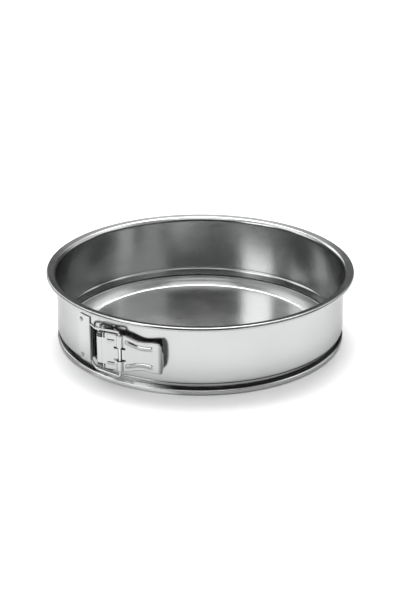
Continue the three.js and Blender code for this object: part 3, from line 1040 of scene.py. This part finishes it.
def wire(name, path, radius):
    """Round wire along a path of points, closed at both ends."""
    sides = 24
    tangents = []
    for i in range(len(path)):
        before, after = path[max(i - 1, 0)], path[min(i + 1, len(path) - 1)]
        tangents.append((after - before).normalized())
    side = tangents[0].orthogonal().normalized()
    rings = []
    for point, tangent in zip(path, tangents):
        side = (side - tangent * side.dot(tangent)).normalized()
        other = tangent.cross(side)
        ring = []
        for k in range(sides):
            turn = 2 * math.pi * k / sides
            ring.append(point + (side * math.cos(turn) + other * math.sin(turn)) * radius)
        rings.append(ring)
    vertices = [vertex for ring in rings for vertex in ring]
    count = len(vertices)
    faces = [tuple(range(sides)), tuple(range(count - 1, count - sides - 1, -1))]
    for j in range(len(rings) - 1):
        for k in range(sides):
            after = (k + 1) % sides
            here, beyond = j * sides, (j + 1) * sides
            faces.append((here + k, here + after, beyond + after, beyond + k))
    return new_object(name, vertices, faces)


def make_bail():
    """Wire loop: one leg in the lever's knuckles, bowed arms, and one leg in the hook."""
    turn = math.radians(BAIL_CATCH_ANGLE - LATCH_ANGLE)
    leg = (-BAIL_CATCH_RADIUS * math.sin(turn), BAIL_CATCH_RADIUS * math.cos(turn))
    knee = (FULCRUM[0] - 4.6, FULCRUM[1] - 0.9)
    butt = LATCH_HEIGHT - 10    # where the wire's two ends meet, inside the lower knuckle
    bend = 3
    pivot = LEVER_PIVOT
    corners = [
        (*pivot, butt + GAP, 0),
        (*pivot, BAIL_TOP[0], bend),
        (*knee, BAIL_TOP[1], bend),
        (*leg, BAIL_TOP[2], bend),
        (*leg, BAIL_BOTTOM[2], bend),
        (*knee, BAIL_BOTTOM[1], bend),
        (*pivot, BAIL_BOTTOM[0], bend),
        (*pivot, butt - GAP, 0),
    ]
    path = [latch_point(*point) for point in rounded(corners, steps=10)]
    piece = wire("bail_wire", path, WIRE_RADIUS * MM)
    finish_piece(piece, "bail", wire_steel, "wire_steel", "bail")


# ---- Stage: floor, light and camera ------------------------------------------------

def make_floor():
    """Plain pale floor, a hair under the pan."""
    size = 12
    corners = [(-size, -size, 0), (size, -size, 0), (size, size, 0), (-size, size, 0)]
    floor = new_object("floor", corners, [(0, 1, 2, 3)])
    floor.location.z = -0.0002
    material = bpy.data.materials.new("floor_white")
    material.use_nodes = True
    shader = material.node_tree.nodes["Principled BSDF"]
    shader.inputs["Base Color"].default_value = (0.96, 0.96, 0.96, 1)
    shader.inputs["Roughness"].default_value = 0.8
    shader.inputs["Specular IOR Level"].default_value = 0.1
    floor.data.materials.append(material)
    floor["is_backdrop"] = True


def make_sky():
    """A bright ceiling over a dim room: what polished steel shows of a studio."""
    world = bpy.data.worlds.new("studio")
    bpy.context.scene.world = world
    world.use_nodes = True
    tree = world.node_tree
    background = tree.nodes["Background"]
    direction = tree.nodes.new("ShaderNodeTexCoord").outputs["Generated"]
    axes = tree.nodes.new("ShaderNodeSeparateXYZ")
    tree.links.new(direction, axes.inputs["Vector"])

    def front_to_back(front, back):
        node = tree.nodes.new("ShaderNodeMapRange")
        node.inputs["From Min"].default_value = -1
        node.inputs["To Min"].default_value = front
        node.inputs["To Max"].default_value = back
        tree.links.new(axes.outputs["Y"], node.inputs["Value"])
        return node.outputs["Result"]

    ceiling = tree.nodes.new("ShaderNodeMapRange")
    ceiling.interpolation_type = "SMOOTHSTEP"
    ceiling.inputs["From Min"].default_value = math.sin(math.radians(CEILING_EDGE[0]))
    ceiling.inputs["From Max"].default_value = math.sin(math.radians(CEILING_EDGE[1]))
    tree.links.new(axes.outputs["Z"], ceiling.inputs["Value"])
    mixed = tree.nodes.new("ShaderNodeMix")
    tree.links.new(ceiling.outputs["Result"], mixed.inputs["Factor"])
    tree.links.new(front_to_back(ROOM_FRONT, ROOM_BACK), mixed.inputs["A"])
    tree.links.new(front_to_back(CEILING_FRONT, CEILING_BACK), mixed.inputs["B"])
    tree.links.new(mixed.outputs["Result"], background.inputs["Strength"])
    background.inputs["Color"].default_value = (1, 1, 1, 1)


def make_softbox(name, azimuth, elevation, width, height, power):
    """Rectangular light that faces the pan, and that the camera doesn't see."""
    data = bpy.data.lights.new(name, "AREA")
    data.shape = "RECTANGLE"
    data.size = width
    data.size_y = height
    data.energy = power
    light = bpy.data.objects.new(name, data)
    bpy.context.scene.collection.objects.link(light)
    climb = math.radians(elevation)
    place = around(math.cos(climb), azimuth, math.sin(climb)) / MM * SOFTBOX_DISTANCE
    light.location = place
    light.rotation_euler = (-place).to_track_quat("-Z", "Y").to_euler()
    light.visible_camera = False


def make_camera():
    elevation = math.radians(23.02)
    distance = 1.302
    target = Vector((0, 0, 0.035))
    data = bpy.data.cameras.new("camera")
    data.lens = 85.12
    data.sensor_width = 36
    data.shift_x = 0.0004
    data.shift_y = -0.0064
    camera = bpy.data.objects.new("camera", data)
    bpy.context.scene.collection.objects.link(camera)
    away = Vector((0, -math.cos(elevation), math.sin(elevation)))
    camera.location = target + away * distance
    camera.rotation_euler = (-away).to_track_quat("-Z", "Y").to_euler()
    bpy.context.scene.camera = camera


make_base()
make_band()
make_tongue()
make_hook_plate()
make_bracket()
make_rivets()
make_pin()
make_lever()
make_bail()
make_floor()
make_sky()
for name, setting in SOFTBOXES.items():
    make_softbox(name, *setting)
make_camera()
bpy.context.scene.view_settings.view_transform = "Standard"

bounds = [[list(corner) for corner in box] for box in (cad_bounds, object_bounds())]
